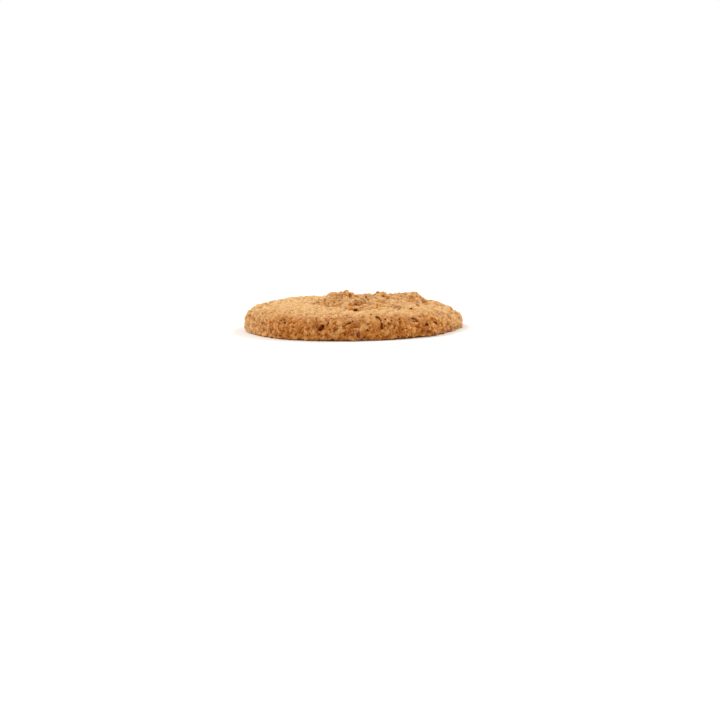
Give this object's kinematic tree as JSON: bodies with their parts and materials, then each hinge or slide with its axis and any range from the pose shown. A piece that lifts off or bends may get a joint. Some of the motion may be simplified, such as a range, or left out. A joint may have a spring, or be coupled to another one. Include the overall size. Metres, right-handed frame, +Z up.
{
  "type": "cranberry white chocolate cookie",
  "caption": "Round baked cookie with a flat underside, a rounded cracked side and a low craggy dome with fruit and chocolate pieces.",
  "frame": {"origin": "middle of the flat underside", "axes": "+Z up through the cookie's thickness; -Y is the side that the picture shows"},
  "size_m": [0.0764, 0.0758, 0.0121],
  "materials": {
    "baked_dough": "dry, crumbly golden-brown baked dough, paler on the swollen top and browner at the foot",
    "dried_cranberry": "dark red-purple dried fruit, wrinkled and slightly glossy",
    "white_chocolate": "white chocolate that has caramelised to gold in the oven, slightly waxy"
  },
  "bodies": {
    "root": {"cookie": "baked_dough"}
  },
  "joints": []
}
